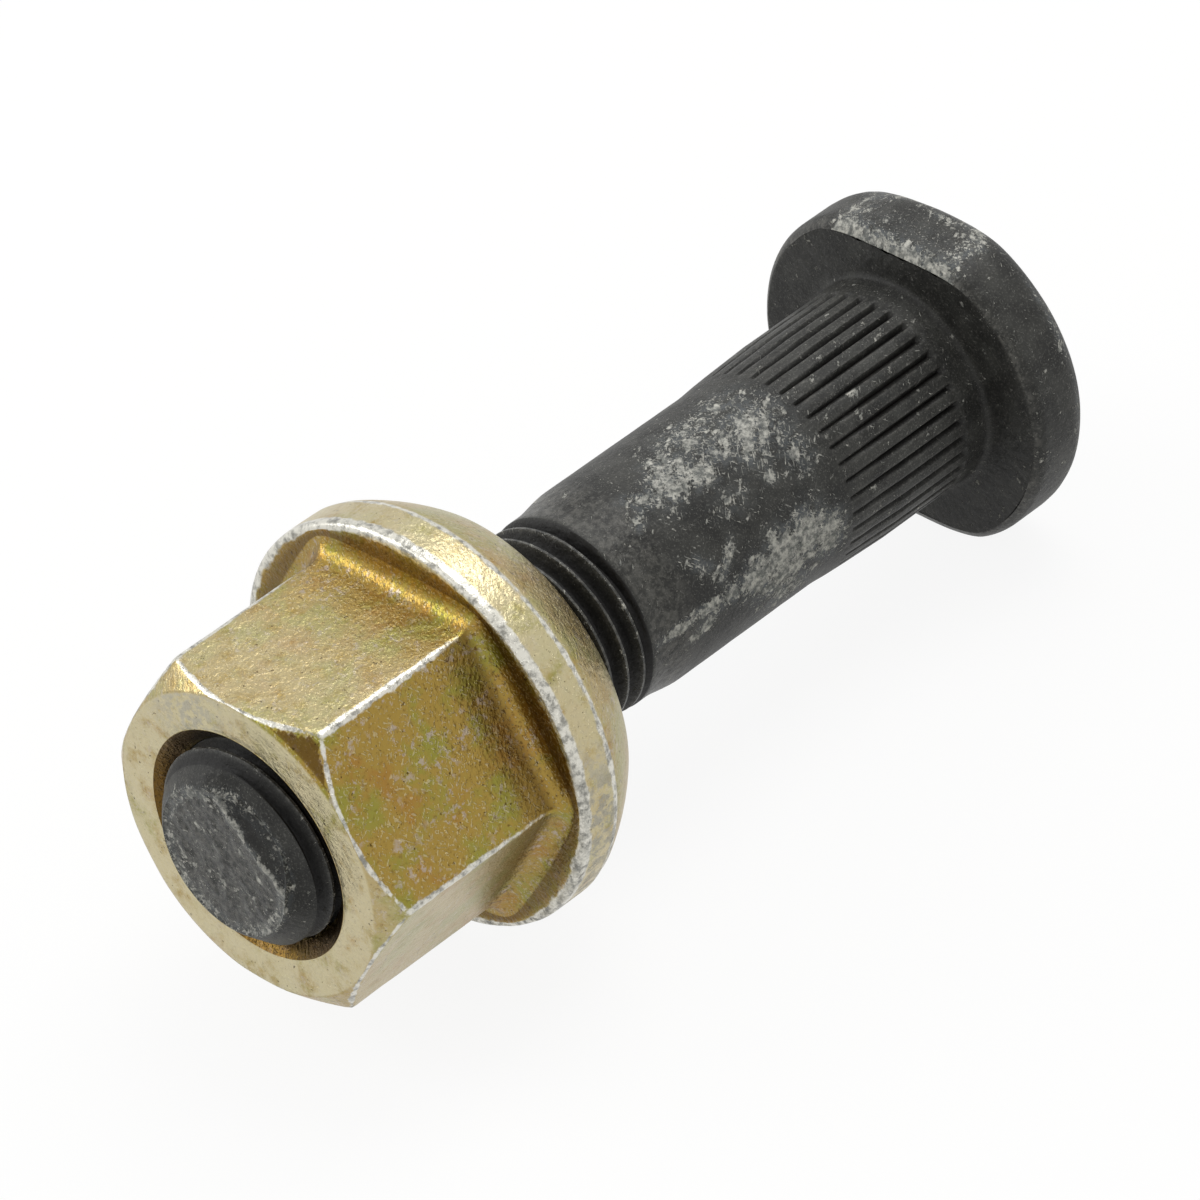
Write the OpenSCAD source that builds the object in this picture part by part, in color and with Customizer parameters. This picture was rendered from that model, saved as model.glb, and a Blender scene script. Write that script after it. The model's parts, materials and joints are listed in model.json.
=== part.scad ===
// Wheel stud with its collar nut, lying on its side.
// Lengths are in millimetres. The stud's axis is X: x = 0 is the seat face under the head,
// and the free end points to +X. The head's two flats face up and down.

/* [Stud] */
// Length from the seat face to the free end
stud_reach = 64; // [58:0.5:90]
// Outside diameter of the thread
thread_d = 14; // [12:0.5:15]
// Pitch of the thread, which sets its depth
thread_pitch = 1.5; // [1:0.25:2]
// Length of the thread, from the free end
thread_length = 31.35; // [30:0.05:34]
// Width of the floor of the groove where the thread runs out
runout_w = 0.1; // [0.05:0.05:1]
// How far the plain shank stands out over the thread, all round
shank_step = 0.4; // [0.2:0.05:1]
// How far the shoulder next to the thread stands out over it, all round
shoulder_step = 0.07; // [0.02:0.01:0.15]
// Length of the taper from the shank down to the shoulder
shoulder_taper = 2.2; // [1:0.1:4]
// Length of the shoulder from the taper to the thread's run-out
shoulder_length = 1; // [0.5:0.1:3]
// Diameter of the flat on the free end
tip_d = 10.6; // [8:0.1:11.8]
// Length of the chamfer on the free end
tip_chamfer = 1.8; // [0.5:0.1:3]

/* [Splines] */
// Number of grooves round the splined neck
groove_count = 38; // [24:1:44]
// Turn of the grooves from the middle of the head's lower flat, as a share of their spacing
groove_turn = 0.63; // [0:0.01:1]
// Width of a groove at its mouth
groove_w = 0.55; // [0.3:0.05:0.7]
// Depth of a groove
groove_depth = 0.45; // [0.2:0.05:0.8]
// Length over which a groove runs out at each end
groove_runout = 0.5; // [0.3:0.1:1]
// Length of the plain neck between the seat face and the grooves
neck_length = 2; // [1:0.1:3]
// Distance from the seat face to the splines' free end
spline_end = 13.6; // [12:0.1:20]
// How far the splines stand out over the shank, all round
spline_rise = 0.35; // [0.2:0.05:0.8]
// How far their leading end stands out over the shank
lead_rise = 0.15; // [0.05:0.05:0.2]
// Length of the taper at the splines' leading end
lead_length = 5; // [2:0.1:8]

/* [Head] */
// Diameter of the head at its widest
head_d = 24.4; // [23:0.2:32]
// Distance between the head's two flats at their widest
head_flats = 22.6; // [20:0.2:22.8]
// Thickness of the head
head_thickness = 5.6; // [4.8:0.1:8]
// Radius of the round rim's back edge
head_round = 2.2; // [0.8:0.1:2.6]
// Radius of the flats' back edge
flat_round = 1.2; // [0.4:0.1:2]
// How far the round rim draws in towards the seat face
rim_draw = 0.45; // [0.1:0.05:0.8]
// How far the flats draw in towards the seat face
flat_draw = 0.9; // [0.2:0.05:1.2]
// Length over which the rim and the flats draw in
draw_length = 0.8; // [0.3:0.1:1.5]
// Radius of the fillet between the seat face and the neck
neck_fillet = 0.5; // [0.2:0.1:1]

/* [Nut] */
// Width across the nut's flats
nut_flats = 22; // [19:0.5:23]
// Height of the whole nut
nut_height = 22; // [18:0.5:24]
// How far the free end stands out past the nut
tip_past_nut = 2.2; // [0:0.1:5]
// How far inside the flats the ring on the front face ends
face_inset = 0.1; // [0.05:0.05:1]
// Slope of the bevel on the hexagon's corners, from the front face
bevel_angle = 40; // [20:1:50]
// How far the hexagon's corners are worn in
corner_wear = 0.1; // [0.05:0.05:0.4]
// Radius of the flare from the hexagon out to the collar
flare_r = 1.5; // [0.8:0.1:1.7]
// Width of the countersink at the front of the bore, all round
front_sink = 1.25; // [0.5:0.05:2]
// Width of the countersink at the back of the bore, all round
back_sink = 0.8; // [0.3:0.05:1.2]

/* [Collar] */
// Diameter of the collar
collar_d = 29.4; // [28.6:0.2:31.6]
// Width of the collar's round rim
collar_band = 3; // [1.5:0.1:5]
// Bevel of the rim's front edge
collar_bevel = 0.3; // [0.1:0.05:0.6]
// Diameter of the ball that the curved seat follows
seat_ball_d = 32.4; // [32:0.2:50]
// Height of the curved seat
seat_height = 4; // [2:0.1:5]

/* [Fit] */
// Gap between the stud's thread and the nut's bore, all round
thread_clearance = 0.05; // [0.02:0.01:0.1]

/* [Hidden] */
$fn = 96;

// Depth of a 60 degree thread, as a share of its pitch
THREAD_DEPTH_SHARE = 0.6134;
// Angle between the thread's flanks
THREAD_ANGLE = 60;
// Sides of the nut
SIDES = 6;
// Distance of the flare arc's centre from the collar and from the side, as a share of its radius.
// It is under 1, so that the arc crosses both at an angle
FLARE_SHARE = 0.975;
// Distance from the collar at which the corners' wear ends, as a share of the flare's radius
WEAR_SHARE = 2 / 3;
// How far a cutting shape runs past what it cuts
over = head_thickness / 10;

thread_r = thread_d / 2;
shank_r = thread_r + shank_step;
spline_r = shank_r + spline_rise;
lead_r = shank_r + lead_rise;
runout_r = thread_r - thread_pitch * THREAD_DEPTH_SHARE;
shoulder_r = thread_r + shoulder_step;
thread_end = stud_reach - thread_length;
// A flank of the thread moves this far along the axis for each step out from it
flank = tan(THREAD_ANGLE / 2);
shoulder_end = thread_end - runout_w - (shoulder_r - runout_r) * flank;
shank_end = shoulder_end - shoulder_length - shoulder_taper;
// The lead's short step up from the shank is as long as it is high
lead_step = lead_rise;
groove_start = neck_length;
groove_end = spline_end - lead_step - groove_runout;
head_r = head_d / 2;

nut_front = stud_reach - tip_past_nut;
bore_r = thread_r + thread_clearance;
hexagon_r = nut_flats / 2;
collar_r = collar_d / 2;
rim_back = nut_height - seat_height;
rim_front = rim_back - collar_band;
flare_reach = hexagon_r + flare_r * FLARE_SHARE;
// The flare stays this far in, clear of the rim's bevel
flare_limit = collar_r - collar_bevel - collar_bevel / 2;
seat_ball_r = seat_ball_d / 2;
// Place of the ball's centre, so that the ball meets the rim's back edge
seat_ball_z = rim_back - sqrt(pow(seat_ball_r, 2) - pow(collar_r, 2));

// Turned outline of the stud from the seat face to the free end, as radius and place along the axis
STUD_OUTLINE = [
    [0, 0],
    [spline_r, 0],
    [spline_r, spline_end - lead_length],
    [lead_r, spline_end - lead_step],
    [shank_r, spline_end],
    [shank_r, shank_end],
    [shoulder_r, shank_end + shoulder_taper],
    [shoulder_r, shoulder_end],
    [runout_r, thread_end - runout_w],
    [runout_r, thread_end],
    [thread_r, thread_end + (thread_r - runout_r) * flank],
    [thread_r, stud_reach - tip_chamfer],
    [tip_d / 2, stud_reach],
    [0, stud_reach],
];

// One V of the splined neck, in the plane across the axis
module groove_section() {
    root_r = spline_r - groove_depth;
    // The V's sides run on past the neck's surface
    reach = groove_depth + over;
    half_w = groove_w / 2 * reach / groove_depth;
    polygon([[root_r, 0], [root_r + reach, -half_w], [root_r + reach, half_w]]);
}

// All grooves, with a floor that ramps up to the neck's surface at both ends
module grooves() {
    steep = groove_runout / groove_depth;
    inner_r = spline_r - groove_depth - over;
    outer_r = spline_r + over;
    intersection() {
        linear_extrude(height = spline_end + over)
            for (i = [0 : groove_count - 1])
                rotate((i + groove_turn) * 360 / groove_count)
                    groove_section();
        rotate_extrude()
            polygon([
                [inner_r, groove_start + steep * (spline_r - inner_r)],
                [outer_r, groove_start - steep * (outer_r - spline_r)],
                [outer_r, groove_end + groove_runout + steep * (outer_r - spline_r)],
                [inner_r, groove_end + groove_runout - steep * (spline_r - inner_r)],
            ]);
    }
}

// Ring that fills the corner between the seat face and the neck
module neck_corner() {
    rotate_extrude()
        translate([spline_r, 0])
            difference() {
                translate([-over, -over])
                    square(neck_fillet + over);
                translate([neck_fillet, neck_fillet])
                    circle(r = neck_fillet);
            }
}

// Section of the forged head, out to half_w: drawn in by draw at the seat face, rounded at the back
module head_section(half_w, draw, back_round) {
    polygon([
        [0, 0],
        [half_w - draw, 0],
        [half_w, draw_length],
        [half_w, head_thickness - back_round],
        [half_w - back_round, head_thickness - back_round],
        [half_w - back_round, head_thickness],
        [0, head_thickness],
    ]);
    translate([half_w - back_round, head_thickness - back_round])
        circle(r = back_round);
}

// Round head with two flats, seen from its seat face at z = 0 back to z = head_thickness
module head() {
    intersection() {
        rotate_extrude()
            head_section(head_r, rim_draw, head_round);
        for (side = [0, 1])
            mirror([side, 0, 0])
                rotate([90, 0, 0])
                    linear_extrude(height = head_d + 2 * over, center = true)
                        head_section(head_flats / 2, flat_draw, flat_round);
    }
}

// Forged and rolled stud in one piece
module stud() {
    color("dimgray")
        rotate([0, 90, 0]) {
            difference() {
                union() {
                    rotate_extrude()
                        polygon(STUD_OUTLINE);
                    neck_corner();
                }
                grooves();
            }
            mirror([0, 0, 1])
                head();
        }
}

// Section across two opposite sides of the hexagon, with the flare at the foot of each
module slab_section() {
    flare_z = rim_front - flare_r * FLARE_SHARE;
    translate([-hexagon_r, 0])
        square([2 * hexagon_r, rim_back]);
    difference() {
        translate([-flare_reach, flare_z])
            square([2 * flare_reach, rim_back - flare_z]);
        for (side = [-1, 1])
            translate([side * flare_reach, flare_z])
                circle(r = flare_r);
    }
}

// Hexagon that flares out to the collar, with a bevelled front and worn corners
module hexagon() {
    face_r = hexagon_r - face_inset;
    corner_r = hexagon_r / cos(180 / SIDES) - corner_wear;
    bevel_height = (corner_r - face_r) * tan(bevel_angle);
    slab_length = 2 * (flare_reach / cos(180 / SIDES) + over);
    intersection() {
        intersection_for(i = [0 : SIDES / 2 - 1])
            rotate(i * 360 / SIDES)
                rotate([90, 0, 0])
                    linear_extrude(height = slab_length, center = true)
                        slab_section();
        rotate_extrude()
            polygon([
                [0, 0],
                [face_r, 0],
                [corner_r, bevel_height],
                [corner_r, rim_front - flare_r * WEAR_SHARE],
                [flare_limit, rim_front],
                [flare_limit, rim_back],
                [0, rim_back],
            ]);
    }
}

// Collar with a bevelled rim in front and a seat that follows a ball behind
module collar() {
    intersection() {
        rotate_extrude()
            polygon([
                [0, rim_front],
                [collar_r - collar_bevel, rim_front],
                [collar_r, rim_front + collar_bevel],
                [collar_r, nut_height],
                [0, nut_height],
            ]);
        translate([0, 0, seat_ball_z])
            sphere(r = seat_ball_r);
    }
}

// Bore for the stud's thread, with a countersink at each end
module nut_bore() {
    rotate_extrude()
        polygon([
            [0, -over],
            [bore_r + front_sink + over, -over],
            [bore_r, front_sink],
            [bore_r, nut_height - back_sink],
            [bore_r + back_sink + over, nut_height + over],
            [0, nut_height + over],
        ]);
}

// Forged nut in one piece, with its front face towards the stud's free end
module wheel_nut() {
    color("darkgoldenrod")
        translate([nut_front, 0, 0])
            rotate([0, -90, 0])
                difference() {
                    union() {
                        hexagon();
                        collar();
                    }
                    nut_bore();
                }
}

stud();
wheel_nut();
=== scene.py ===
"""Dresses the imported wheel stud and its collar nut: threads, splines, forged skin, coatings, wear and studio.

Lengths are in millimetres in the part's own frame until a mesh is made, where they become metres. The stud's
axis is X, x = 0 is the seat face under the head, and turn angles run from +Z towards +Y.
"""

from __future__ import annotations

import json
import logging
import math
from dataclasses import dataclass, field
from enum import Enum

import bpy
import numpy as np
from mathutils import Matrix, Vector

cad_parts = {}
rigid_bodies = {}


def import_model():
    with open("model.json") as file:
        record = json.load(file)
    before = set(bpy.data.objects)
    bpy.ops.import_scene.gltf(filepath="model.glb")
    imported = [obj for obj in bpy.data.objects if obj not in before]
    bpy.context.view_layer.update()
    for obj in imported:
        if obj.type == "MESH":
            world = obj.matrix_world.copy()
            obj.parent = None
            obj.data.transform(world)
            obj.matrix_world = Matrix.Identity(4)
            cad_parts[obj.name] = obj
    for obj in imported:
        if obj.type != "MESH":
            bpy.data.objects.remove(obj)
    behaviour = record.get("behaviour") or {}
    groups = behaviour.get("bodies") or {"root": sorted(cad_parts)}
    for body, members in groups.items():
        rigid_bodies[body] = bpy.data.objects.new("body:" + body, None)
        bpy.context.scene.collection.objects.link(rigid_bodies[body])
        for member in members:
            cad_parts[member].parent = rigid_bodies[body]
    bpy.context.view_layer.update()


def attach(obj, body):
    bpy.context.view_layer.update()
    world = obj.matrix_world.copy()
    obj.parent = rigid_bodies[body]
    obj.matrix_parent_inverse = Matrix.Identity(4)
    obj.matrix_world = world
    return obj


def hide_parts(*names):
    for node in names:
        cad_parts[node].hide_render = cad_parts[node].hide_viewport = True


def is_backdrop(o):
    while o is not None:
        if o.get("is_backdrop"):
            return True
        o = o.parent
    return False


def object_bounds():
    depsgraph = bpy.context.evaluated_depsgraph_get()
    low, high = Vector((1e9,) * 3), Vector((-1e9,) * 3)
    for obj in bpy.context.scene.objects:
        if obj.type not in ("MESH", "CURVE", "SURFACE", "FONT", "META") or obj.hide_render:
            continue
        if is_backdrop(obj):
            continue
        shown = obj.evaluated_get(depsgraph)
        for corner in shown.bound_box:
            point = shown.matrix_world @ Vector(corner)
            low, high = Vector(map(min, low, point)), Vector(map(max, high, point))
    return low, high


LOG = logging.getLogger("wheel_stud")
MM = 0.001
FULL_TURN = 2 * math.pi
# Points are one point where they agree to this many digits of a millimetre
MERGE_DIGITS = 4
# Edges sharper than this angle, in degrees, are shaded as creases
CREASE_ANGLE = 38
# How far apart two patterns are taken from the same noise, in grains
PATTERN_SHIFT = 31.7
# Two directions that cross, as turns round the three axes, for marks left by handling
FIRST_WAY = (0.3, 0.5, 0.9)
SECOND_WAY = (0.8, -0.6, -0.5)


class Body(Enum):
    """The bodies that the pieces ride on."""

    STUD = "stud_body"
    NUT = "nut_body"


class Mask(Enum):
    """What a mesh tells its finish about each of its points."""

    # Wear on edges and crests, which also lays a painted sheen on the stud's shoulder and painted highlights
    # along the splines' land edges
    WEAR = "edge_wear"
    # Painted shade: darkening in grooves, thread roots, bores, recesses and corners, and on the nut's sides
    # that catch less light
    CAVITY = "cavity"
    DUST = "dust"
    # A pale film, which on the nut's sides and bevels is painted light
    PALE = "pale_film"


def smooth_step(value: np.ndarray | float, low: float, high: float) -> np.ndarray:
    """Rises smoothly from 0 at low to 1 at high.

    Args:
        value: The numbers to look up.
        low: Where the rise starts.
        high: Where it ends; below low, the curve falls instead.

    Returns:
        The share, from 0 to 1, of each number.
    """
    share = np.clip((np.asarray(value, float) - low) / (high - low), 0, 1)
    return share * share * (3 - 2 * share)


def bell(distance: np.ndarray | float, width: float) -> np.ndarray:
    """Falls smoothly from 1 at no distance to nearly 0 at twice the width."""
    return np.exp(-(np.asarray(distance, float) / width) ** 2)


def soft_min(first: np.ndarray, second: np.ndarray, blend: float) -> np.ndarray:
    """The lower of two radii, with the corner between them worn round.

    Args:
        first: One radius at each point.
        second: The other radius at each point.
        blend: Width of the rounded stretch, in millimetres.

    Returns:
        The rounded lower radius.
    """
    share = np.clip(0.5 + 0.5 * (second - first) / blend, 0, 1)
    return second + (first - second) * share - blend * share * (1 - share)


def around(x: np.ndarray | float, radius: np.ndarray | float, turns: np.ndarray) -> np.ndarray:
    """Places round the axis.

    Args:
        x: Place along the axis.
        radius: Distance from the axis.
        turns: Turn angle of each place, in radians.

    Returns:
        One row of x, y and z for each place.
    """
    radius = np.broadcast_to(radius, len(turns))
    return np.c_[np.broadcast_to(x, len(turns)), radius * np.sin(turns), radius * np.cos(turns)]


@dataclass(frozen=True)
class Waves:
    """Uneven waves in space, for surfaces left by forging, rolling and shearing.

    The height is in millimetres, the length is a wave's rough length, and the seed picks the waves.
    """

    height: float
    length: float
    seed: int
    mixed: int = 9
    spread: tuple[float, float] = (0.6, 1.7)

    def share(self, points: np.ndarray) -> np.ndarray:
        """Works out the waves as a share of their height.

        Args:
            points: Places, in millimetres, as rows of x, y and z.

        Returns:
            A share from about -1 to 1 for each place.
        """
        source = np.random.default_rng(self.seed)
        directions = source.normal(size=(self.mixed, 3))
        directions /= np.linalg.norm(directions, axis=1)[:, None]
        waves = FULL_TURN / (self.length * source.uniform(*self.spread, self.mixed))
        phases = source.uniform(0, FULL_TURN, self.mixed)
        return np.sin(points @ (directions * waves[:, None]).T + phases).sum(axis=1) / (self.mixed / 2)

    def at(self, points: np.ndarray) -> np.ndarray:
        """The waves' height at each place."""
        return self.height * self.share(points)

    def dents(self, points: np.ndarray, level: float = 0.0) -> np.ndarray:
        """The depth of dents at each place: the waves where they rise above a level, and 0 elsewhere."""
        return self.height * np.maximum(0, self.share(points) - level)


@dataclass
class Row:
    """One row of points round the axis."""

    start: int
    count: int


@dataclass
class Skin:
    """A closed surface built from rows of points round the stud's axis."""

    points: list[np.ndarray] = field(default_factory=list)
    masks: dict[Mask, list[np.ndarray]] = field(default_factory=lambda: {mask: [] for mask in Mask})
    faces: list[tuple[int, ...]] = field(default_factory=list)
    total: int = 0

    def row(self, x: np.ndarray | float, radius: np.ndarray | float, turns: np.ndarray,
            **shares: np.ndarray | float) -> Row:
        """Adds a row of points.

        Args:
            x: Place along the axis.
            radius: Distance from the axis.
            turns: Turn angle of each point, in radians.
            **shares: Values of the masks, by the mask's name in lower case.

        Returns:
            The row, for joining to its neighbours.
        """
        count = len(turns)
        self.points.append(around(x, radius, turns))
        for mask in Mask:
            self.masks[mask].append(np.broadcast_to(shares.get(mask.name.lower(), 0.0), count))
        self.total += count
        return Row(self.total - count, count)

    def join(self, first: Row, second: Row) -> None:
        """Fills the band between two rows.

        Args:
            first: The row nearer to the start of the outline.
            second: The row after it, which may have a whole number of times as many points.
        """
        step = second.count // first.count
        for index in range(first.count):
            following = (index + 1) % first.count
            far = [second.start + (index * step + part) % second.count for part in range(step + 1)]
            self.faces.append((first.start + index, *far, first.start + following))

    def join_all(self, rows: list[Row]) -> None:
        """Fills the bands between neighbouring rows of a list."""
        for first, second in zip(rows, rows[1:]):
            self.join(first, second)

    def join_helix(self, rows: list[Row], rows_per_turn: int) -> None:
        """Fills a thread, whose rows climb one pitch in a turn.

        Its faces match those of an outline that runs down the rows.

        Args:
            rows: The thread's rows, one above the other.
            rows_per_turn: How many rows a row has climbed by once round.
        """
        for lower, upper in zip(range(len(rows)), range(1, len(rows))):
            for index in range(rows[0].count):
                if index + 1 < rows[0].count:
                    beside = rows[lower].start + index + 1
                    above = rows[upper].start + index + 1
                else:
                    beside = rows[max(0, lower - rows_per_turn)].start
                    above = rows[max(0, upper - rows_per_turn)].start
                self.faces.append((rows[lower].start + index, beside, above, rows[upper].start + index))

    def close(self, row: Row, x: float, at_start: bool) -> None:
        """Closes the surface with a fan from a row to a point on the axis.

        Args:
            row: The outline's first or last row.
            x: Place of the point along the axis.
            at_start: True for the first row, False for the last.
        """
        middle = self.row(x, 0.0, np.zeros(1))
        for index in range(row.count):
            edge = (row.start + index, row.start + (index + 1) % row.count)
            self.faces.append((*(edge if at_start else edge[::-1]), middle.start))

    def build(self, name: str) -> bpy.types.Object:
        """Makes the Blender object, with points that lie in one place joined into one.

        Args:
            name: Name of the object.

        Returns:
            The object, in metres.
        """
        points = np.concatenate(self.points)
        rounded = np.round(points, MERGE_DIGITS)
        _, kept, renamed = np.unique(rounded, axis=0, return_index=True, return_inverse=True)
        renamed = renamed.ravel()
        faces = []
        for face in self.faces:
            corners = [int(renamed[corner]) for corner in face]
            corners = [corner for place, corner in enumerate(corners) if corner != corners[place - 1]]
            if len(set(corners)) > 2:
                faces.append(corners)
        mesh = bpy.data.meshes.new(name)
        mesh.from_pydata((points[kept] * MM).tolist(), [], faces)
        for mask in Mask:
            layer = mesh.attributes.new(mask.value, "FLOAT", "POINT")
            values = np.concatenate(self.masks[mask])[kept].astype(np.float32)
            layer.data.foreach_set("value", values)
        self._face_outwards(mesh)
        mesh.shade_smooth()
        mesh.set_sharp_from_angle(angle=math.radians(CREASE_ANGLE))
        piece = bpy.data.objects.new(name, mesh)
        bpy.context.scene.collection.objects.link(piece)
        return piece

    @staticmethod
    def _face_outwards(mesh: bpy.types.Mesh) -> None:
        """Turns every face outwards, by the sign of the volume that the faces enclose.

        Args:
            mesh: A closed mesh whose faces all face the same way.
        """
        mesh.calc_loop_triangles()
        corners = np.empty(len(mesh.loop_triangles) * 3, np.int64)
        mesh.loop_triangles.foreach_get("vertices", corners)
        places = np.empty(len(mesh.vertices) * 3)
        mesh.vertices.foreach_get("co", places)
        triangles = places.reshape(-1, 3)[corners.reshape(-1, 3)]
        normals = np.cross(triangles[:, 1], triangles[:, 2])
        volume = np.einsum("ij,ij->i", triangles[:, 0], normals).sum()
        if volume < 0:
            mesh.flip_normals()


@dataclass
class Thread:
    """The 60 degree thread that the stud and the nut share."""

    radius: float = 7.0
    pitch: float = 1.5
    depth: float = 0.92
    # Place along the axis of a crest at turn angle 0, with the thread right-handed
    crest_x: float = 34.66
    # Places across one turn, as shares of the pitch, from the middle of a crest
    steps: tuple[float, ...] = (0.0, 0.06, 0.16, 0.28, 0.40, 0.47, 0.53, 0.60, 0.72, 0.84, 0.94)
    crest_share: float = 0.06
    root_share: float = 0.42

    def cut(self, step: int) -> float:
        """Works out how deep the thread is cut at one of its steps.

        Args:
            step: Number of the step.

        Returns:
            The share of the thread's depth.
        """
        away = self.steps[step % len(self.steps)]
        away = min(away, 1 - away)
        return min(1.0, max(0.0, (away - self.crest_share) / (self.root_share - self.crest_share)))

    def rows(self, start: float, end: float, turns: np.ndarray) -> list[tuple[np.ndarray, float]]:
        """Works out the rows that follow the helix between two places on the axis.

        Args:
            start: Where the thread begins.
            end: Where it ends.
            turns: Turn angle of each point, in radians.

        Returns:
            For each row, its points' places along the axis and the share of the depth that is cut there.
        """
        first_turn = math.floor((start - self.crest_x) / self.pitch)
        last_turn = math.ceil((end - self.crest_x) / self.pitch) + 1
        made = []
        for whole in range(first_turn, last_turn + 1):
            for number, step in enumerate(self.steps):
                x = self.crest_x + (whole + step) * self.pitch - self.pitch * turns / FULL_TURN
                made.append((np.clip(x, start, end), self.cut(number)))
        return made


@dataclass(frozen=True)
class Scuff:
    """A dusty, chipped patch on the stud's coating, at a turn in degrees and with a slant across the axis."""

    x: float
    turn: float
    length: float
    width: float
    strength: float
    slant: float = 0.0


@dataclass
class StudBody:
    """The forged and rolled stud: sheared tip, thread, shank, splines and flatted head."""

    thread: Thread = field(default_factory=Thread)
    reach: float = 64.0

    # The sheared free end, from its edge in to its middle; the shear left a ridge across it
    tip_radius: float = 5.3
    tip_steps: tuple[float, ...] = (5.12, 4.9, 4.65, 4.4, 4.15, 3.9, 3.65, 3.4,
                                    3.1, 2.8, 2.5, 2.1, 1.7, 1.3, 0.9, 0.45)
    tip_rim: float = 4.6
    tip_sink: float = 0.2
    tip_middle_sink: float = 0.15
    tip_edge_sink: float = 0.1
    tip_edge_round: float = 0.3
    tip_blend: float = 0.5
    tip_lumps: Waves = Waves(0.09, 2.6, 5)
    tip_grain: Waves = Waves(0.045, 0.8, 8)
    ridge_distance: float = 3.6
    ridge_width: float = 0.25
    ridge_height: float = 0.15
    ridge_waves: Waves = Waves(0.2, 1.6, 6)
    shear_depth: float = 0.8
    shear_length: float = 1.7
    # Width over which the painted shade comes in past the ridge
    shear_shade: float = 0.4

    # The thread's two ends and its crests; a point is on a crest where less than this share is cut
    tip_chamfer: float = 1.8
    crest_cut: float = 0.05
    crest_nicks: Waves = Waves(0.035, 1.4, 3)
    nick_level: float = 0.55
    full_thread: float = 32.75
    level_crests: float = 32.4
    worn_crests: tuple[float, float] = (32.2, 32.9)
    groove_shade: float = 0.4

    # The shoulder, the shank and their places along the axis
    shoulder_radius: float = 7.07
    shoulder_end: float = 31.98
    taper_end: float = 30.98
    shank_end: float = 28.78
    shank_radius: float = 7.4
    shank_dents: Waves = Waves(0.012, 3.0, 11)
    shank_steps: int = 42
    # Where the shoulder's painted sheen comes in: lighter, smoother steel laid through the wear mask
    shoulder_sheen: tuple[float, float] = (27.4, 29.4)

    # The splined neck, which tapers towards its leading end
    spline_radius: float = 7.75
    spline_end: float = 13.6
    lead_radius: float = 7.55
    lead_length: float = 5.0
    lead_taper: float = 4.85
    lead_foot: tuple[float, float] = (15.6, 13.0)
    lead_blend: tuple[float, float] = (12.6, 13.6)
    spline_places: tuple[float, ...] = (
        13.6, 13.45, 13.3, 13.15, 13.0, 12.8, 12.5, 12.0, 11.3, 10.5, 9.6, 8.6, 7.6, 6.6,
        5.6, 4.6, 3.6, 2.9, 2.6, 2.4, 2.25, 2.1, 2.0, 1.8, 1.5, 1.1, 0.8)
    groove_count: int = 38
    groove_width: float = 0.55
    groove_depth: float = 0.45
    groove_start: float = 2.0
    groove_end: float = 12.95
    groove_runout: float = 0.5
    groove_curve: float = 1.15
    # Turn of one groove's middle, in degrees
    groove_turn: float = 3.5
    # Places across one groove's spacing, as shares of it from the groove's middle
    groove_steps: tuple[float, ...] = (0.0, 0.07, 0.14, 0.215, 0.26, 0.36, 0.5, 0.64, 0.74, 0.785, 0.86, 0.93)
    # The land between two grooves: its crown, where it begins and ends, and where its rubbed edge is, which
    # also paints a highlight along it
    crown_height: float = 0.03
    crown_rise: tuple[float, float] = (0.215, 0.36)
    worn_and_lit_edge: float = 0.235
    worn_and_lit_edge_width: float = 0.03
    worn_and_lit_until: float = 13.3
    neck_fillet: float = 0.5
    fillet_angles: tuple[int, ...] = (25, 45, 65, 90)

    # The head: a round rim with two flats, both drawn in a little towards the seat face
    head_radius: float = 12.2
    head_thickness: float = 5.6
    head_round: float = 2.2
    rim_draw: float = 0.45
    flat_reach: float = 11.3
    flat_round: float = 1.2
    flat_draw: float = 0.9
    draw_length: float = 0.8
    draw_curve: float = 1.5
    flat_blend: float = 1.1
    flat_corner: float = 0.45
    # Keeps a flat's reach finite where the flat lies edge on
    least_cosine: float = 0.05
    seat_shares: tuple[float, ...] = (0.15, 0.4, 0.65, 0.85, 0.96)
    rim_places: tuple[float, ...] = (0.0, 0.1, 0.22, 0.36, 0.52, 0.7, 0.9, 1.2, 1.6, 2.1, 2.7, 3.3)
    rim_angles: tuple[int, ...] = (12, 24, 36, 48, 60, 70, 80)
    back_shares: tuple[float, ...] = (0.97, 0.88, 0.78, 0.67, 0.55, 0.42, 0.28, 0.14)
    seat_edge_depth: float = 0.14
    seat_edge_width: float = 0.12
    torn_edge: Waves = Waves(0.16, 1.3, 21)
    torn_width: float = 0.9
    rim_dents: Waves = Waves(0.05, 5.0, 17)
    back_dents: Waves = Waves(0.07, 5.0, 40)
    dusty_ring: Waves = Waves(0.6, 4.0, 33)
    dusty_ring_place: float = 4.3

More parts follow.
